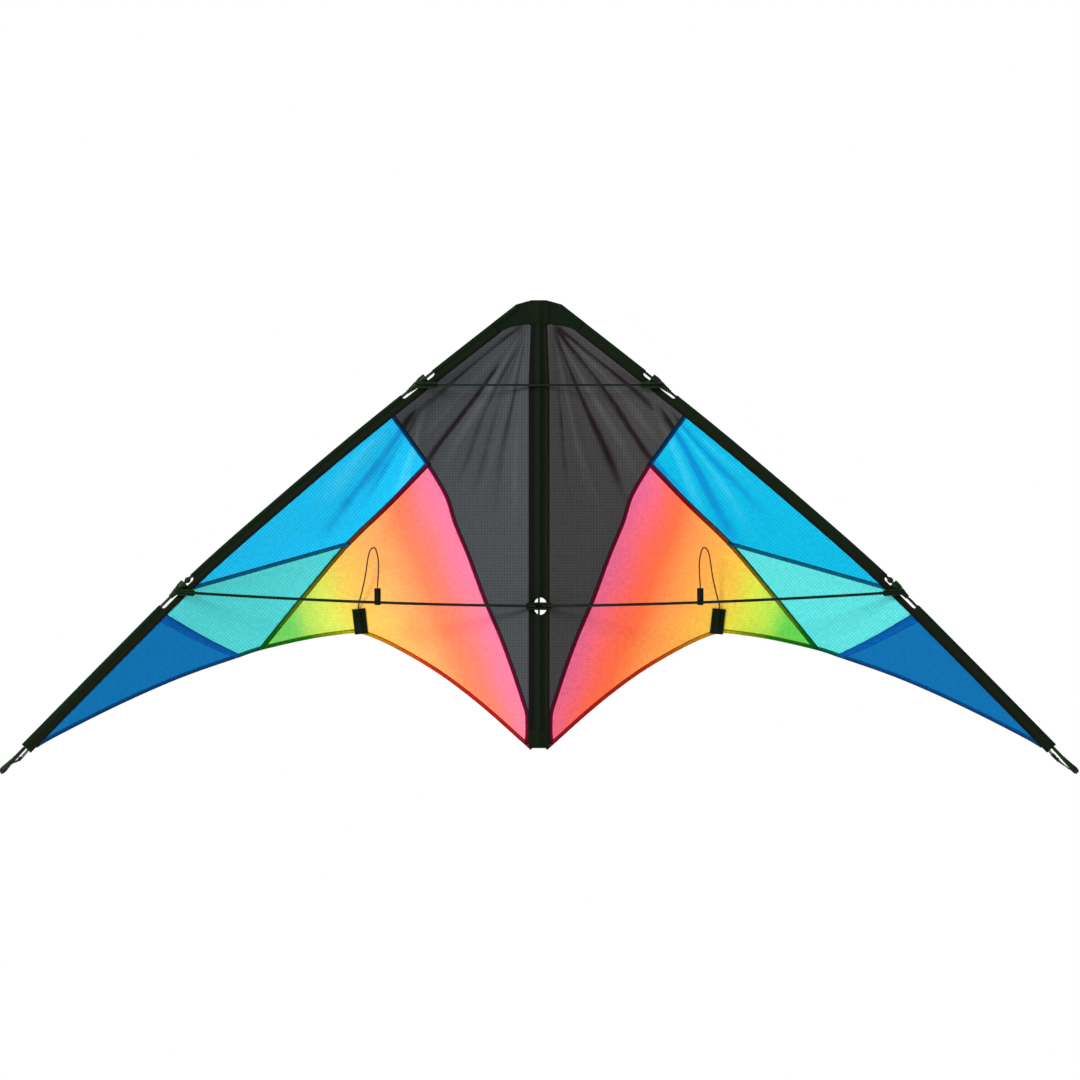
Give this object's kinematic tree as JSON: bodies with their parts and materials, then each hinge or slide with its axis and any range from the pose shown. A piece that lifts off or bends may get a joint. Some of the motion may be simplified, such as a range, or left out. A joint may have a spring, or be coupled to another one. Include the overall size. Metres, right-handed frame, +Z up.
{
  "type": "two-line delta kite",
  "caption": "Two-line delta sport kite with a panelled ripstop sail on a fibreglass rod frame, with folding wings, swinging spreaders and whisker standoffs.",
  "frame": {"origin": "on the spine at the middle of the centre tee, where the kite is held by its bridle", "axes": "+Z up the spine towards the nose, -Y towards the flyer, the side that the spreaders and the bridle are on, +X to the right as the flyer sees the kite"},
  "size_m": [1.5006, 0.0867, 0.6617],
  "materials": {
    "black_dacron": "woven polyester tape, matt",
    "black_webbing": "heavy woven polyester, matt, with a soft sheen along worn edges",
    "black_fibreglass": "pultruded fibreglass, satin",
    "black_moulded": "injection moulded, satin",
    "black_rubber": "moulded rubber, matt",
    "black_vinyl": "soft vinyl, satin",
    "black_cord": "braided polyester cord",
    "charcoal_ripstop": "coated ripstop nylon, crinkled, slightly see-through",
    "blue_ripstop": "coated ripstop nylon, lit through",
    "turquoise_ripstop": "coated ripstop nylon, lit through",
    "tip_blue_ripstop": "coated ripstop nylon, lit through",
    "fan_ripstop": "printed ripstop nylon, pink through orange and yellow to green"
  },
  "bodies": {
    "spine": {"spine_rod": "black_fibreglass", "spine_sleeve": "black_dacron", "nose_webbing": "black_webbing", "tail_webbing": "black_webbing", "spine_cap_nose": "black_vinyl", "spine_cap_tail": "black_vinyl", "centre_tee": "black_moulded"},
    "upper_spreader": {"upper_spreader": "black_fibreglass"},
    "left_spreader": {"lower_spreader_left": "black_fibreglass"},
    "right_spreader": {"lower_spreader_right": "black_fibreglass"},
    "left_wing": {"leading_edge_rod_left": "black_fibreglass", "leading_edge_cap_left": "black_vinyl", "leading_edge_sleeve_left": "black_dacron", "nose_patch_left": "black_webbing", "upper_connector_left": "black_moulded", "lower_connector_left": "black_moulded", "upper_stopper_left": "black_moulded", "lower_stopper_left": "black_moulded", "tip_nock_left": "black_moulded", "tip_cord_left": "black_cord", "standoff_rod_left": "black_fibreglass", "standoff_clip_left": "black_rubber", "standoff_pocket_left": "black_webbing", "charcoal_panel_left": "charcoal_ripstop", "upper_blue_panel_left": "blue_ripstop", "turquoise_panel_left": "turquoise_ripstop", "tip_panel_left": "tip_blue_ripstop", "fan_panel_left": "fan_ripstop"},
    "right_wing": {"leading_edge_rod_right": "black_fibreglass", "leading_edge_cap_right": "black_vinyl", "leading_edge_sleeve_right": "black_dacron", "nose_patch_right": "black_webbing", "upper_connector_right": "black_moulded", "lower_connector_right": "black_moulded", "upper_stopper_right": "black_moulded", "lower_stopper_right": "black_moulded", "tip_nock_right": "black_moulded", "tip_cord_right": "black_cord", "standoff_rod_right": "black_fibreglass", "standoff_clip_right": "black_rubber", "standoff_pocket_right": "black_webbing", "charcoal_panel_right": "charcoal_ripstop", "upper_blue_panel_right": "blue_ripstop", "turquoise_panel_right": "turquoise_ripstop", "tip_panel_right": "tip_blue_ripstop", "fan_panel_right": "fan_ripstop"}
  },
  "joints": [
    {"name": "right_wing_fold", "type": "hinge", "parent": "spine", "child": "right_wing", "pos_m": [0.015, 0.0008, 0], "axis": [0, 0, 1], "range_deg": [0, 70]},
    {"name": "left_wing_fold", "type": "hinge", "parent": "spine", "child": "left_wing", "pos_m": [-0.015, 0.0008, 0], "axis": [0, 0, -1], "range_deg": [0, 70]},
    {"name": "right_spreader_swing", "type": "hinge", "parent": "spine", "child": "right_spreader", "pos_m": [0.0045, -0.0065, 0], "axis": [0, 0, -1], "range_deg": [0, 80]},
    {"name": "left_spreader_swing", "type": "hinge", "parent": "spine", "child": "left_spreader", "pos_m": [-0.0045, -0.0065, 0], "axis": [0, 0, 1], "range_deg": [0, 80]},
    {"name": "upper_spreader_release", "type": "slide", "parent": "spine", "child": "upper_spreader", "axis": [0, -1, 0], "range_m": [0, 0.06]}
  ]
}
